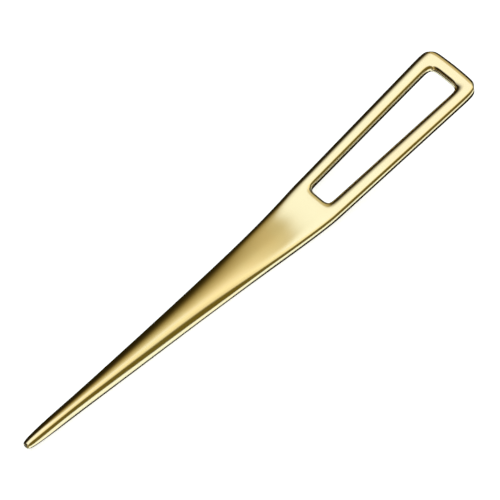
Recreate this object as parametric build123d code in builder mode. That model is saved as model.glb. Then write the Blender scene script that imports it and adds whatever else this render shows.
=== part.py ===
"""Letter opener: one solid casting, a tapered blade that bends up into a flat slotted handle.

+X runs from the tip to the handle and +Z is up. The blade lies along X and the handle rises from
the bend. The origin is the middle of the length and width, on the surface the opener rests on.
"""
import os
from math import cos, radians, sin

from build123d import *

# The blade's underside is ground flat by this much where the opener rests
land_depth = 0.1

# Blade sections, millimetres: distance from the tip, width, thickness, the radius that rounds
# the section's four edges, and how far the underside stands above the resting surface
tip = (0.0, 3.1, 3.0, 1.4, 2.2)
point = (10.0, 4.7, 4.4, 2.1, 1.1)
fore = (30.0, 6.2, 5.1, 2.4, 0.25)
belly = (60.0, 8.9, 5.6, 2.5, -land_depth)
neck = (90.0, 12.3, 5.3, 2.2, -land_depth)
root = (113.0, 15.1, 5.0, 1.9, -land_depth)
tip_end_radius = 1.2

# Bend
bend_angle = radians(12.2)
bend_length = 19.0
bend_width = 16.7
bend_thickness = 4.6
bend_edge_radius = 1.8

# Handle: a flat bar that widens towards its slightly bowed far end
handle_length = 68.3
handle_near_width = 18.2
handle_far_width = 22.85
handle_thickness = 4.3
handle_corner_radius = 4.2
end_bow = 0.5
edge_radius = 1.8

# Slot through the handle; its near end sits a little to one side
palm_length = 2.4
end_bar = 5.6
slot_near_width = 8.0
slot_far_width = 11.6
slot_near_shift = 0.3
slot_near_corner_radius = 1.6
slot_far_corner_radius = 2.4

# The edges are rounded as far as the walls around the slot allow
near_bar = (handle_near_width - slot_near_width) / 2 - slot_near_shift
far_bar = (handle_far_width - slot_far_width) / 2
thinnest_wall = min(handle_thickness, near_bar, far_bar, end_bar, 2 * palm_length)
largest_share = 0.45  # of a wall, for the rounding on each of its two sides
rounding = min(edge_radius, largest_share * thinnest_wall)

# The neutral line: straight in the blade, one arc in the bend, straight in the handle
blade_length, _, root_thickness, _, root_rise = root
bend_radius = bend_length / bend_angle
handle_start = blade_length + bend_radius * sin(bend_angle)
flat_half = handle_thickness / 2 - rounding
handle_reach = (handle_length - rounding) * cos(bend_angle) + flat_half * sin(bend_angle)
overall_length = handle_start + handle_reach + rounding
tip_x = -overall_length / 2


def blade_section(station):
    """Rounded section across the blade, standing on its underside."""
    distance, width, thickness, radius, rise = station
    centre = (tip_x + distance, 0, rise + thickness / 2)
    plane = Plane(origin=centre, x_dir=(0, 1, 0), z_dir=(1, 0, 0))
    with BuildSketch(plane, mode=Mode.PRIVATE) as section:
        RectangleRounded(width, thickness, radius)
    return section.sketch.face()


def bend_plane(angle):
    """Plane across the neutral line where the bend has turned by an angle."""
    x = tip_x + blade_length + bend_radius * sin(angle)
    z = root_rise + root_thickness / 2 + bend_radius * (1 - cos(angle))
    return Plane(origin=(x, 0, z), x_dir=(0, 1, 0), z_dir=(cos(angle), 0, sin(angle)))


# The handle's own plane: its X runs along the handle and its Z out of the upper face
joint_plane = bend_plane(bend_angle)
handle_plane = Plane(
    origin=joint_plane.origin,
    x_dir=joint_plane.z_dir,
    z_dir=(-sin(bend_angle), 0, cos(bend_angle)),
)
slot_end = handle_length - end_bar
corner_reach = handle_length - end_bow

with BuildPart() as opener_body:
    # Flat handle with rounded far corners
    with BuildSketch(handle_plane) as outline:
        with BuildLine():
            near_edge = Line((0, handle_near_width / 2), (0, -handle_near_width / 2))
            right_edge = Line(near_edge @ 1, (corner_reach, -handle_far_width / 2))
            left_edge = Line(near_edge @ 0, (corner_reach, handle_far_width / 2))
            ThreePointArc(right_edge @ 1, (handle_length, 0), left_edge @ 1)
        make_face()
        fillet(outline.vertices().group_by(Axis.X)[-1], handle_corner_radius)
    extrude(amount=handle_thickness / 2, both=True)

    # Slot, right through
    with BuildSketch(handle_plane) as slot:
        with BuildLine():
            Polyline(
                (palm_length, slot_near_shift - slot_near_width / 2),
                (slot_end, -slot_far_width / 2),
                (slot_end, slot_far_width / 2),
                (palm_length, slot_near_shift + slot_near_width / 2),
                close=True,
            )
        make_face()
        fillet(slot.vertices().group_by(Axis.X)[0], slot_near_corner_radius)
        fillet(slot.vertices().group_by(Axis.X)[-1], slot_far_corner_radius)
    extrude(amount=handle_thickness, both=True, mode=Mode.SUBTRACT)

    # Soft edges everywhere except across the face that the bend joins
    joint_face = opener_body.faces().sort_by(Axis.X)[0]
    flat_faces = opener_body.faces().filter_by(handle_plane)
    fillet(flat_faces.edges() - joint_face.edges(), rounding)

    # Bend and blade, lofted from the handle to the tip
    with BuildSketch(bend_plane(bend_angle / 2), mode=Mode.PRIVATE) as bend_section:
        RectangleRounded(bend_width, bend_thickness, bend_edge_radius)
    stations = [tip, point, fore, belly, neck, root]
    sections = [blade_section(station) for station in stations]
    joint_section = opener_body.faces().sort_by(Axis.X)[0]
    loft(sections=[*sections, bend_section.sketch.face(), joint_section])

    # Blunt, rounded tip
    tip_face = opener_body.faces().sort_by(Axis.X)[0]
    fillet(tip_face.edges(), tip_end_radius)

    # Narrow flat land under the blade
    split(bisect_by=Plane.XY, keep=Keep.TOP)

opener_body.part.label = "opener_body"
os.makedirs("parts", exist_ok=True)
export_step(opener_body.part, "parts/opener_body.step")
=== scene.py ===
"""Letter opener in polished brass: a tapered blade that bends up into a flat slotted handle.

+X runs from the tip to the handle and +Z is up. Sizes are in millimetres and become metres
where they reach Blender. Distances run along the metal, from the tip.
"""
from math import cos, radians, sin

import bmesh
import bpy
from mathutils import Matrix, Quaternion, Vector


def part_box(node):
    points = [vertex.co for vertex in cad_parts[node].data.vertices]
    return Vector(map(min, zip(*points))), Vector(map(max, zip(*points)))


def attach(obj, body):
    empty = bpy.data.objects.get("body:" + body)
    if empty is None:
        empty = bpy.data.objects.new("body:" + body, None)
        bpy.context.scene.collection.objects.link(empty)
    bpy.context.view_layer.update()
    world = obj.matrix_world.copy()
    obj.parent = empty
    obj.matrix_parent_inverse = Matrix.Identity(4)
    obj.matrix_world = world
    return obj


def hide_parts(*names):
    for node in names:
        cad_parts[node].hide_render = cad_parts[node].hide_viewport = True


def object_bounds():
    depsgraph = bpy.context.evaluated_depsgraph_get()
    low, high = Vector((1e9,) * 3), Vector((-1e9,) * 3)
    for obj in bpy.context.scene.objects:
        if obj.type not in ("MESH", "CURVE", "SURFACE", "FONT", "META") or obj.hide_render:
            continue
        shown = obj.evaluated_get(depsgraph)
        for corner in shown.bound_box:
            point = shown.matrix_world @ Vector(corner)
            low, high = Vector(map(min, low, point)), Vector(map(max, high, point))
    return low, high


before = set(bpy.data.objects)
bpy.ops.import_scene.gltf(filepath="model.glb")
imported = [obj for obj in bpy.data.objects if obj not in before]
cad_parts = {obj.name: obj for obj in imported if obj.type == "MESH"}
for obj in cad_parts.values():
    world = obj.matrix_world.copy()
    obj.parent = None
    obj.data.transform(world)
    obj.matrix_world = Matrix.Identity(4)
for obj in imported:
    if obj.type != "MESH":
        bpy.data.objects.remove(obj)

cad_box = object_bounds()
mm = 0.001

# Blade sections: distance, width, thickness and how far the middle stands above the neutral line
blade_stations = [
    (0.0, 1.7, 1.5, 0.95),
    (0.35, 2.5, 2.4, 0.95),
    (1.3, 3.2, 3.2, 0.92),
    (4.0, 3.85, 3.8, 0.86),
    (10.0, 4.6, 4.5, 0.9),
    (17.0, 5.05, 4.9, 0.7),
    (25.0, 5.6, 5.25, 0.5),
    (35.0, 6.5, 5.5, 0.33),
    (45.0, 7.45, 5.6, 0.22),
    (55.0, 8.4, 5.7, 0.13),
    (65.0, 9.35, 5.75, 0.12),
    (75.0, 10.35, 5.7, 0.1),
    (85.0, 11.45, 5.55, 0.04),
    (93.0, 12.35, 5.4, 0.0),
    (100.0, 13.2, 5.2, -0.03),
    (106.0, 14.0, 4.9, -0.03),
    (112.0, 14.9, 4.6, 0.0),
    (118.0, 15.85, 4.4, 0.0),
    (124.0, 16.9, 4.3, 0.0),
    (129.0, 17.75, 4.3, 0.0),
]
flattening_start, flattening_end = 75.0, 131.0  # where the oval blade turns into the flat bar
oval_step = radians(20)  # between the columns of the oval
hoop_gain = 1.0205  # a smoothed oval lies this much inside its corners

# Bend: the metal turns up in small folds spread over this length
bend_angle = radians(12.19)
bend_middle = 123.8
bend_length = 40.0
bend_folds = [103.0, 109.0, 115.0, 121.0, 126.5, 131.0, 136.0, 142.0]

# Handle
overall_distance = 200.3
handle_thickness = 4.3
handle_near, handle_near_width = 135.0, 18.4
handle_far_width = 22.85
end_bow = 0.65
corner_pull, ring_pull = 1.6, 0.3  # round the far corners more than the long edges
edge_pull = 0.25  # how far the cage's edges are drawn in, to round them more
neck_pull, neck_end = 0.5, 129.4  # the same in the thick blade, and where that ends
wall_swell = 1.5 * edge_pull  # keeps the slot's wall upright between its rounded rims

# Slot
slot_near, slot_far = 134.4, 194.7
slot_near_width, slot_far_width = 8.0, 11.6
slot_near_shift, slot_far_shift = 0.35, -0.15
slot_near_corner, slot_far_corner = 3.1, 4.4  # reach of the slot's rounded corners
palm_ring = 132.0  # the last section before the slot
handle_rings = [151.0, 165.0, 179.0]
far_ring = (slot_far + overall_distance) / 2

neutral_height = 2.75  # from the resting surface to the neutral line
tolerance = 0.02  # places nearer than this are the same place
smooth_steps = 3


def between(position, start, end, first, last):
    """The value at a position, on the line from first at start to last at end."""
    return first + (last - first) * (position - start) / (end - start)


def ease(position, start, end):
    """Zero before the start, one after the end and a smooth S between them."""
    share = min(max((position - start) / (end - start), 0), 1)
    return share * share * (3 - 2 * share)


def handle_width(distance):
    return between(distance, handle_near, overall_distance, handle_near_width, handle_far_width)


def slot_half_width(distance):
    return between(distance, slot_near, slot_far, slot_near_width, slot_far_width) / 2


def slot_corner(distance):
    return between(distance, slot_near, slot_far, slot_near_corner, slot_far_corner)


def oval_section(width, thickness):
    """The side point and four columns of an oval: half width and half height of each pair."""
    angles = [oval_step * step for step in range(5)]
    half_width, half_height = hoop_gain * width / 2, hoop_gain * thickness / 2
    return [(half_width * cos(angle), half_height * sin(angle)) for angle in angles]


def bar_section(distance, width, thickness):
    """The side point and four columns of the flat bar: edge, bar middle, slot edge, inner."""
    slot_edge = slot_half_width(distance)
    half = thickness / 2
    pull = neck_pull + (edge_pull - neck_pull) * ease(distance, flattening_start, neck_end)
    edge_height = half - pull
    side = (width / 2 + pull / 2, 0)
    edge = (width / 2 - pull, edge_height)
    bar_middle = (width / 2 + slot_edge) / 2
    inner = slot_edge - slot_corner(distance)
    if distance > overall_distance - tolerance:
        return [side, edge, *((y, edge_height) for y in (bar_middle, slot_edge, inner))]
    if distance > slot_far + tolerance:
        crown = half + edge_pull / 2
        return [side, edge, *((y, crown) for y in (bar_middle, slot_edge, inner))]
    if distance > slot_near - tolerance:
        rim = slot_edge + edge_pull
        crown = half + edge_pull / 2
        return [side, edge, (bar_middle, crown), (rim, edge_height), (inner, edge_height)]
    return [side, edge, (bar_middle, half + pull / 4), (slot_edge, half), (inner, half)]


def section(distance, width, thickness):
    """Oval in the blade, flat in the handle, and mixed in the stretch between them."""
    share = ease(distance, flattening_start, flattening_end)
    oval = oval_section(width, thickness)
    bar = bar_section(distance, width, thickness)
    return [
        (y0 + (y1 - y0) * share, z0 + (z1 - z0) * share)
        for (y0, z0), (y1, z1) in zip(oval, bar)
    ]


def select_places(test):
    """Selects the vertices of the edited mesh whose place, in millimetres, passes the test."""
    cage = bmesh.from_edit_mesh(bpy.context.edit_object.data)
    for vertex in cage.verts:
        vertex.select_set(bool(test(vertex.co / mm)))
    cage.select_flush_mode()
    bmesh.update_edit_mesh(bpy.context.edit_object.data)


def select_faces(test):
    """Selects the faces of the edited mesh whose middle, in millimetres, passes the test."""
    bpy.ops.mesh.select_all(action="DESELECT")
    cage = bmesh.from_edit_mesh(bpy.context.edit_object.data)
    for face in cage.faces:
        if test(face.calc_center_median() / mm):
            face.select_set(True)
    bmesh.update_edit_mesh(bpy.context.edit_object.data)


def at(value, target):
    return abs(value - target) < tolerance


def resize(factors, distance):
    """Scales the selection about the neutral line at a distance."""
    bpy.ops.transform.resize(value=factors, center_override=(distance * mm, 0, 0))


def move(x=0.0, y=0.0, z=0.0):
    bpy.ops.transform.translate(value=(x * mm, y * mm, z * mm))


def shape_end(distance, old, new):
    """Moves the columns of the end face from one section to the next, a pair at a time."""
    for index, ((old_y, old_z), (new_y, new_z)) in enumerate(zip(old, new)):
        if index == 0:
            select_places(lambda p: at(p.x, distance) and at(p.z, 0) and at(abs(p.y), old_y))
        elif index == 1:
            select_places(lambda p: at(p.x, distance) and not at(p.z, 0) and at(abs(p.y), old_y))
        else:
            select_places(lambda p: at(p.x, distance) and at(abs(p.y), old_y))
        height = new_z / old_z if old_z else 1
        resize((1, new_y / old_y, height), distance)


def end_face(side):
    """Grid of seven by two squares across X, with its middle on the neutral line."""
    bpy.ops.object.select_all(action="DESELECT")
    bpy.ops.mesh.primitive_grid_add(
        x_subdivisions=7, y_subdivisions=2, size=side * mm, rotation=(radians(90), 0, radians(90))
    )
    bpy.ops.object.transform_apply(location=True, rotation=True, scale=True)
    return bpy.context.object


def draw_out_cage():
    """Draws the end face out along X, a section at a time, into the whole straight bar."""
    side = 14.0
    body = end_face(side)
    body.name = "polished_opener"
    body.data.name = "polished_opener"
    bpy.ops.object.mode_set(mode="EDIT")
    bpy.ops.mesh.select_mode(type="VERT")
    last = [(side / 2, 0)] + [(side / 2 - 2 * step, side / 2) for step in range(4)]
    sections = [(d, section(d, width, thickness)) for d, width, thickness, _ in blade_stations]
    bar_distances = [
        palm_ring,
        slot_near,
        slot_near + slot_near_corner,
        *handle_rings,
        slot_far - slot_far_corner,
        slot_far,
        far_ring,
        overall_distance,
    ]
    sections += [(d, section(d, handle_width(d), handle_thickness)) for d in bar_distances]
    place = 0.0
    for index, (distance, columns) in enumerate(sections):
        if index:
            select_faces(lambda p: at(p.x, place))
            step = (distance - place) * mm
            bpy.ops.mesh.extrude_region_move(TRANSFORM_OT_translate={"value": (step, 0, 0)})
            place = distance
        shape_end(distance, last, columns)
        last = columns
    return body


def in_slot(p, margin):
    """True inside the slot, as seen from above, or within a margin of it."""
    near, far = slot_near - margin, slot_far + margin
    return near < p.x < far and abs(p.y) < slot_half_width(p.x) + margin


def cut_slot():
    """Opens the slot between the upper and lower faces, with rounded rims and a full wall."""
    for end, side in ((slot_near, -1), (slot_far, 1)):
        select_places(lambda p: at(p.x, end) and in_slot(p, edge_pull + tolerance))
        move(x=side * edge_pull)
    bpy.ops.mesh.select_mode(type="FACE")
    select_faces(lambda p: in_slot(p, 0) and abs(p.z) > handle_thickness / 4)
    bpy.ops.mesh.bridge_edge_loops(number_cuts=1, interpolation="LINEAR")
    bpy.ops.mesh.select_mode(type="VERT")
    near_rim, far_rim = slot_near - edge_pull, slot_far + edge_pull
    reach = edge_pull + 4 * tolerance
    for side in (-1, 1):
        select_places(
            lambda p: at(p.z, 0) and in_slot(p, reach)
            and side * p.y > slot_half_width(p.x) - tolerance
        )
        move(y=-side * wall_swell)
    for end, side in ((near_rim, 1), (far_rim, -1)):
        select_places(lambda p: at(p.z, 0) and at(p.x, end) and in_slot(p, reach))
        move(x=side * wall_swell)


def shift_slot():
    """Slides the slot's edges sideways, a little at its near end and back at its far end."""
    corners = [slot_near + slot_near_corner, slot_far - slot_far_corner]
    rings = [slot_near, slot_far, *corners, *handle_rings]
    margin = edge_pull + 2 * tolerance
    for distance in rings:
        select_places(lambda p: abs(p.x - distance) < margin and in_slot(p, margin))
        move(y=between(distance, slot_near, slot_far, slot_near_shift, slot_far_shift))


def shape_far_end():
    """Bows the far edge, rounds its upper and lower edges and pulls its corners in."""
    half = handle_far_width / 2
    for y, _ in section(overall_distance, handle_far_width, handle_thickness):
        select_places(lambda p: at(p.x, overall_distance) and at(abs(p.y), y))
        move(x=-end_bow * (y / half) ** 2)
    ring_edge = handle_width(far_ring) / 2 - edge_pull - tolerance
    select_places(lambda p: at(p.x, far_ring) and abs(p.y) > ring_edge)
    resize((1, 1 - ring_pull / half, 1), overall_distance)
    end = overall_distance - 2 * end_bow
    select_places(lambda p: p.x > end and not at(p.z, 0))
    move(x=-edge_pull)
    select_places(lambda p: p.x > end and at(p.z, 0))
    move(x=edge_pull / 2)
    end -= edge_pull
    select_places(lambda p: p.x > end and abs(p.y) > half - edge_pull - tolerance)
    resize((1, 1 - corner_pull / half, 1), overall_distance)
    move(x=-corner_pull)


def lift_blade():
    """Lifts each blade section's middle to its place above or below the neutral line."""
    for distance, _, _, lift in blade_stations:
        select_places(lambda p: at(p.x, distance))
        move(z=lift)


def bend_bar():
    """Turns the handle up in small folds, the farthest first."""
    start, end = bend_middle - bend_length / 2, bend_middle + bend_length / 2
    middles = [(a + b) / 2 for a, b in zip(bend_folds, bend_folds[1:])]
    limits = [start, *middles, end]
    folds = list(zip(bend_folds, limits, limits[1:]))
    for fold, first, last in reversed(folds):
        turn = bend_angle * (ease(last, start, end) - ease(first, start, end))
        select_places(lambda p: p.x > fold)
        bpy.ops.transform.rotate(
            value=turn, orient_axis="Y", center_override=(fold * mm, 0, 0)
        )


def make_opener():
    """The opener's one piece, as a smooth surface in its place."""
    body = draw_out_cage()
    cut_slot()
    shift_slot()
    shape_far_end()
    lift_blade()
    bend_bar()
    bpy.ops.mesh.select_all(action="SELECT")
    tip_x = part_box("opener_body")[0][0] / mm
    floor_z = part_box("opener_body")[0][2] / mm
    move(x=tip_x, z=floor_z + neutral_height)
    bpy.ops.mesh.normals_make_consistent(inside=False)
    bpy.ops.object.mode_set(mode="OBJECT")
    smooth = body.modifiers.new("smooth", "SUBSURF")
    smooth.levels = smooth_steps
    smooth.render_levels = smooth_steps
    bpy.ops.object.modifier_apply(modifier=smooth.name)
    bpy.ops.object.shade_smooth()
    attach(body, "root")
    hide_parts("opener_body")
    return body


class Number:
    """A number that varies over a surface or a sky. Its operators add Math nodes."""

    def __init__(self, tree, socket):
        self.tree = tree
        self.socket = socket

    def math(self, operation, first, second):
        inputs = {0: first, 1: second}
        return self.tree.number("ShaderNodeMath", {"operation": operation}, inputs)

    def __add__(self, other):
        return self.math("ADD", self, other)

    def __radd__(self, other):
        return self.math("ADD", other, self)

    def __sub__(self, other):
        return self.math("SUBTRACT", self, other)

    def __rsub__(self, other):
        return self.math("SUBTRACT", other, self)

    def __mul__(self, other):
        return self.math("MULTIPLY", self, other)

    def __rmul__(self, other):
        return self.math("MULTIPLY", other, self)

    def rise(self, start, end):
        """Zero below the start and one above the end, with a smooth S between them."""
        settings = {"interpolation_type": "SMOOTHSTEP"}
        inputs = {"Value": self, "From Min": start, "From Max": end}
        return self.tree.number("ShaderNodeMapRange", settings, inputs)


class Tree:
    """Adds nodes to an emptied node tree."""

    def __init__(self, owner):
        owner.use_nodes = True
        self.nodes = owner.node_tree.nodes
        self.links = owner.node_tree.links
        self.nodes.clear()

    def add(self, kind, settings=None, inputs=None):
        """A node of this kind, with its settings made first and then its sockets fed."""
        node = self.nodes.new(kind)
        for name, value in (settings or {}).items():
            if name == "stops":
                self.set_stops(node.color_ramp, value)
            else:
                setattr(node, name, value)
        for name, value in (inputs or {}).items():
            self.feed(node.inputs[name], value)
        return node

    def set_stops(self, ramp, stops):
        while len(ramp.elements) < len(stops):
            ramp.elements.new(1.0)
        for element, (position, colour) in zip(ramp.elements, stops):
            element.position = position
            element.color = (*colour, 1)

    def feed(self, socket, value):
        if isinstance(value, Number):
            self.links.new(value.socket, socket)
        elif isinstance(value, bpy.types.NodeSocket):
            self.links.new(value, socket)
        else:
            socket.default_value = value

    def number(self, kind, settings=None, inputs=None, output=0):
        return Number(self, self.add(kind, settings, inputs).outputs[output])

    def mix(self, share, first, second):
        """A colour between two colours, the second one where the share is one."""
        inputs = {0: share, 6: first, 7: second}
        node = self.add("ShaderNodeMix", {"data_type": "RGBA"}, inputs)
        return node.outputs[2]


def polished_brass():
    """Gold-coloured brass: a mirror with a faint cloudy polish and a fine grain."""
    cloud_scale, grain_scale = 60.0, 1400.0
    warm_gold, pale_gold = (0.95, 0.735, 0.405, 1), (0.945, 0.76, 0.43, 1)
    material = bpy.data.materials.new("polished_brass")
    tree = Tree(material)
    place = tree.add("ShaderNodeTexCoord").outputs["Object"]
    cloud = tree.number(
        "ShaderNodeTexNoise", None, {"Vector": place, "Scale": cloud_scale, "Detail": 3.0}
    )
    grain = tree.number(
        "ShaderNodeTexNoise", None, {"Vector": place, "Scale": grain_scale, "Detail": 2.0}
    )
    colour = tree.mix(cloud.rise(0.35, 0.65), warm_gold, pale_gold)
    bump = tree.add(
        "ShaderNodeBump",
        None,
        {"Strength": 0.05, "Distance": 0.0001, "Height": cloud + grain * 0.2},
    )
    surface = tree.add(
        "ShaderNodeBsdfPrincipled",
        None,
        {
            "Base Color": colour,
            "Metallic": 1.0,
            "Roughness": 0.10 + 0.06 * cloud + 0.02 * grain,
            "Normal": bump.outputs["Normal"],
        },
    )
    tree.add("ShaderNodeOutputMaterial", None, {"Surface": surface.outputs["BSDF"]})
    return material


# Studio that the metal mirrors: a soft box and a long strip of light overhead, a dark room on the
# left, and an olive wall with a pale floor on the right. In a mirrored direction x points towards
# the handle's end, y to the left and height up, and across runs from the wall, -1, to the room, 1.
# Each edge below is a pair: where a change starts and where it ends.
across_azimuth = radians(119.5)
strip_light = [  # the strip's colour at each place across
    (-0.45, (0.97, 0.99, 0.78)),
    (-0.32, (1.10, 1.15, 0.95)),
    (-0.16, (0.93, 0.92, 0.70)),
    (0.00, (0.68, 0.65, 0.43)),
    (0.16, (0.46, 0.42, 0.230)),
    (0.24, (0.34, 0.30, 0.140)),
    (0.32, (0.20, 0.165, 0.060)),
    (0.40, (0.09, 0.070, 0.018)),
    (0.48, (0.040, 0.030, 0.007)),
    (0.56, (0.018, 0.014, 0.003)),
]
strip_end = (0.50, 0.85)
lamp_tip_edge = (-0.82, -0.55)
lamp_handle_edge, lamp_handle_slant = (0.44, 0.52), 0.3
lamp_right_edge, lamp_right_slant = (-0.44, -0.28), -0.8
lamp_left_edge = (0.32, 0.73)
wall_edge, wall_slant = (-0.435, -0.30), 0.43
floor_edge, floor_slant = (-1.015, -0.985), -0.10
horizon = (-0.05, 0.05)
right_side = (-0.60, -0.30)
# The underside starts higher towards the handle's end, and it is pale only below the slot
underside_edge = (0.68, 0.78)
underside_climb, underside_turn = 0.5, (0.34, 0.49)
pale_start, pale_end = (-0.35, -0.20), (-0.05, 0.20)
lamp_colour = (1.08, 1.24, 1.40, 1)
dark_room = (0.018, 0.014, 0.004, 1)
wall_colour = (0.15, 0.127, 0.023, 1)
pale_floor_colour = (1.10, 1.31, 1.48, 1)


def studio_sky(tree):
    """Colour of the studio in each direction."""
    direction = tree.add("ShaderNodeTexCoord").outputs["Generated"]
    x = tree.number("ShaderNodeSeparateXYZ", None, {0: direction}, output=0)
    y = tree.number("ShaderNodeSeparateXYZ", None, {0: direction}, output=1)
    height = tree.number("ShaderNodeSeparateXYZ", None, {0: direction}, output=2)
    across = x * cos(across_azimuth) + y * sin(across_azimuth)

    # Overhead: the strip, which fades into the dark room, and the soft box in front of it
    stops = [(place * 0.5 + 0.5, colour) for place, colour in strip_light]
    strip = tree.add("ShaderNodeValToRGB", {"stops": stops}, {0: across * 0.5 + 0.5}).outputs[0]
    strip = tree.mix(x.rise(*strip_end), strip, dark_room)
    lamp_length = x.rise(*lamp_tip_edge) * (1 - (x + y * lamp_handle_slant).rise(*lamp_handle_edge))
    lamp_width = (y + x * lamp_right_slant).rise(*lamp_right_edge) * (1 - y.rise(*lamp_left_edge))
    sky = tree.mix(lamp_length * lamp_width, strip, lamp_colour)

    # Right side: the olive wall, then the pale floor up to the horizon and below it
    sky = tree.mix((across + x * wall_slant).rise(*wall_edge), wall_colour, sky)
    sky = tree.mix((across + x * floor_slant).rise(*floor_edge), pale_floor_colour, sky)
    above_or_left = height.rise(*horizon) + across.rise(*right_side)
    sky = tree.mix(above_or_left.rise(0, 1), pale_floor_colour, sky)

    # Straight below
    pale_share = x.rise(*pale_start) * (1 - x.rise(*pale_end))
    underside = tree.mix(pale_share, dark_room, pale_floor_colour)
    depth = underside_climb * x.rise(*underside_turn) - height
    return tree.mix(depth.rise(*underside_edge), sky, underside)


def make_studio():
    """The world that the metal mirrors, plain white where it is seen directly."""
    world = bpy.data.worlds.new("studio")
    bpy.context.scene.world = world
    tree = Tree(world)
    seen = tree.number("ShaderNodeLightPath", output=0)
    mirrored = tree.add("ShaderNodeBackground", None, {"Color": studio_sky(tree)})
    white = tree.add("ShaderNodeBackground", None, {"Color": (1, 1, 1, 1), "Strength": 1.0})
    both = tree.add(
        "ShaderNodeMixShader", None, {0: seen, 1: mirrored.outputs[0], 2: white.outputs[0]}
    )
    tree.add("ShaderNodeOutputWorld", None, {"Surface": both.outputs[0]})


def make_floor():
    """Plain pale floor under the opener."""
    bpy.ops.object.select_all(action="DESELECT")
    floor_size = 4.0
    bpy.ops.mesh.primitive_plane_add(size=floor_size, location=(0, 0, cad_box[0][2]))
    floor = bpy.context.object
    floor.name = "floor"
    floor.visible_glossy = False
    material = bpy.data.materials.new("pale_floor")
    tree = Tree(material)
    surface = tree.add(
        "ShaderNodeBsdfPrincipled",
        None,
        {
            "Base Color": (0.9, 0.9, 0.9, 1),
            "Roughness": 0.9,
            "Emission Color": (1, 1, 1, 1),
            "Emission Strength": 0.75,
        },
    )
    tree.add("ShaderNodeOutputMaterial", None, {"Surface": surface.outputs["BSDF"]})
    floor.data.materials.append(material)


# Camera
view_azimuth, view_elevation, view_roll = radians(-58.69), radians(55.03), radians(13.66)
view_distance = 1000.0
view_lens = 226.9
aim_distance = 100.0  # the point of the neutral line that the camera is set by
aim_right, aim_up = 0.80, 3.99


def make_camera():
    """Camera that looks down on the opener from the tip's side, from a metre away."""
    data = bpy.data.cameras.new("camera")
    camera = bpy.data.objects.new("camera", data)
    bpy.context.scene.collection.objects.link(camera)
    across = cos(view_elevation)
    back = Vector((sin(view_azimuth) * across, -cos(view_azimuth) * across, sin(view_elevation)))
    turn = (-back).to_track_quat("-Z", "Y") @ Quaternion((0, 0, 1), view_roll)
    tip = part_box("opener_body")[0]
    aim = Vector((tip[0], 0, tip[2])) + mm * Vector((aim_distance, 0, neutral_height))
    aim += turn @ Vector((aim_right, aim_up, 0)) * mm
    camera.rotation_mode = "QUATERNION"
    camera.rotation_quaternion = turn
    camera.location = aim + back * view_distance * mm
    data.lens = view_lens
    data.sensor_width = 36.0
    bpy.context.scene.camera = camera


opener = make_opener()
opener.data.materials.append(polished_brass())
make_studio()
make_floor()
make_camera()
bpy.context.scene.view_settings.view_transform = "Standard"
